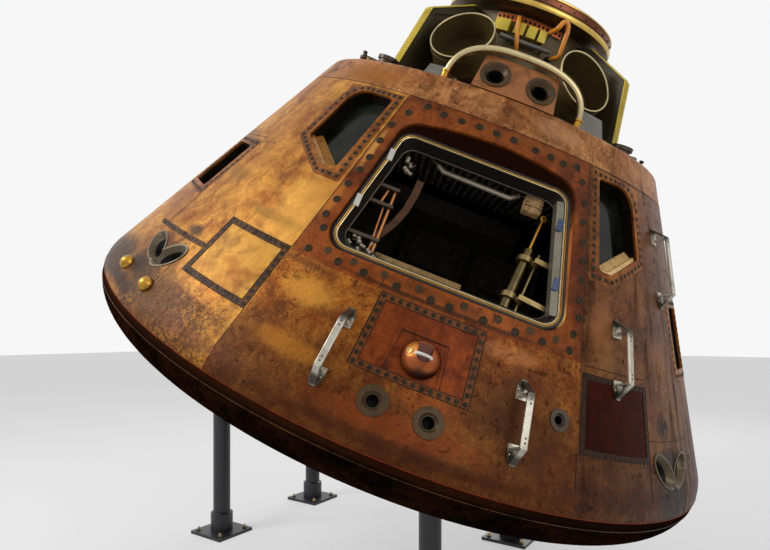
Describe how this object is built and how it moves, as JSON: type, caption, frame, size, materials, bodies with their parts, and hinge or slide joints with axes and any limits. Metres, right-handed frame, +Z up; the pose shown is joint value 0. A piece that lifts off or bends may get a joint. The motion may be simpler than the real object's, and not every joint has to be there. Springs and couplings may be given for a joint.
{
  "type": "space capsule",
  "caption": "Cone-shaped crew capsule with a charred base shield, an open side hatch, windows, a couched cabin and a nose tunnel, leaning on a stand of posts.",
  "frame": {"origin": "centre of the bounding box, on the floor under the stand", "axes": "+Z up; +Y level, across the lean; +X level, to the side on which the capsule's rim is lowest"},
  "size_m": [3.5683, 3.9116, 3.5952],
  "materials": {
    "scorched_shell": "matt, mottled",
    "maroon_panel": "matt",
    "charred_shield": "rough char",
    "grey_metal": "satin",
    "couch_fabric": "woven",
    "steel": "brushed",
    "window_glass": "clear",
    "white_metal": "satin",
    "yellow_metal": "satin",
    "pale_rim": "satin",
    "red_brown_shell": "matt, mottled",
    "orange_hose": "satin",
    "panel_grey": "matt",
    "crown_shell": "matt",
    "brass_metal": "dull",
    "stand_black": "satin",
    "tan_fabric": "woven",
    "dark_nozzle": "matt"
  },
  "bodies": {
    "capsule": {"access_panel_left": "scorched_shell", "access_panel_right": "maroon_panel", "base_heat_shield": "charred_shield", "cabin_floor": "grey_metal", "cabin_lockers": "grey_metal", "couch_center": "couch_fabric", "couch_left": "couch_fabric", "couch_right": "couch_fabric", "couch_struts": "steel", "forward_deck": "grey_metal", "forward_fittings": "steel", "forward_window_frame_left": "scorched_shell", "forward_window_frame_right": "scorched_shell", "forward_window_glass_left": "window_glass", "forward_window_glass_right": "window_glass", "guard_tube": "white_metal", "gussets": "yellow_metal", "handrail_center": "white_metal", "handrail_left": "white_metal", "handrail_right": "white_metal", "handrail_upper": "white_metal", "hatch_rim": "pale_rim", "hatch_rods": "steel", "hatch_surround": "red_brown_shell", "hose_loops": "orange_hose", "leg_wells": "grey_metal", "main_panel": "panel_grey", "mortar_left": "white_metal", "mortar_right": "white_metal", "nozzle_block": "white_metal", "round_ports": "grey_metal", "service_panel": "red_brown_shell", "shell_back": "scorched_shell", "shell_crown": "crown_shell", "shell_left": "scorched_shell", "shell_right": "scorched_shell", "side_domes": "brass_metal", "side_window_frame_left": "scorched_shell", "side_window_frame_right": "scorched_shell", "side_window_glass_left": "window_glass", "side_window_glass_right": "window_glass", "skirt_panel_front": "red_brown_shell", "small_port": "grey_metal", "stand_post_high_far": "stand_black", "stand_post_high_near": "stand_black", "stand_post_low_far": "stand_black", "stand_post_low_near": "stand_black", "stowage_bag": "tan_fabric", "strut_barrel": "steel", "strut_clamps": "steel", "thrusters_left": "dark_nozzle", "thrusters_right": "dark_nozzle", "thrusters_side_left": "dark_nozzle", "thrusters_side_right": "dark_nozzle", "tunnel": "grey_metal", "tunnel_pads": "yellow_metal", "tunnel_ring": "brass_metal", "vent_cover": "white_metal"},
    "counterbalance_rod": {"strut_rod": "steel"},
    "tunnel_hatch": {"tunnel_hatch": "grey_metal"}
  },
  "joints": [
    {"name": "counterbalance_slide", "type": "slide", "parent": "capsule", "child": "counterbalance_rod", "axis": [0.1928, 0.5115, 0.8374], "range_m": [-0.035, 0.11]},
    {"name": "tunnel_hatch_slide", "type": "slide", "parent": "capsule", "child": "tunnel_hatch", "axis": [0.4305, 0, 0.9026], "range_m": [-0.35, 0]}
  ]
}
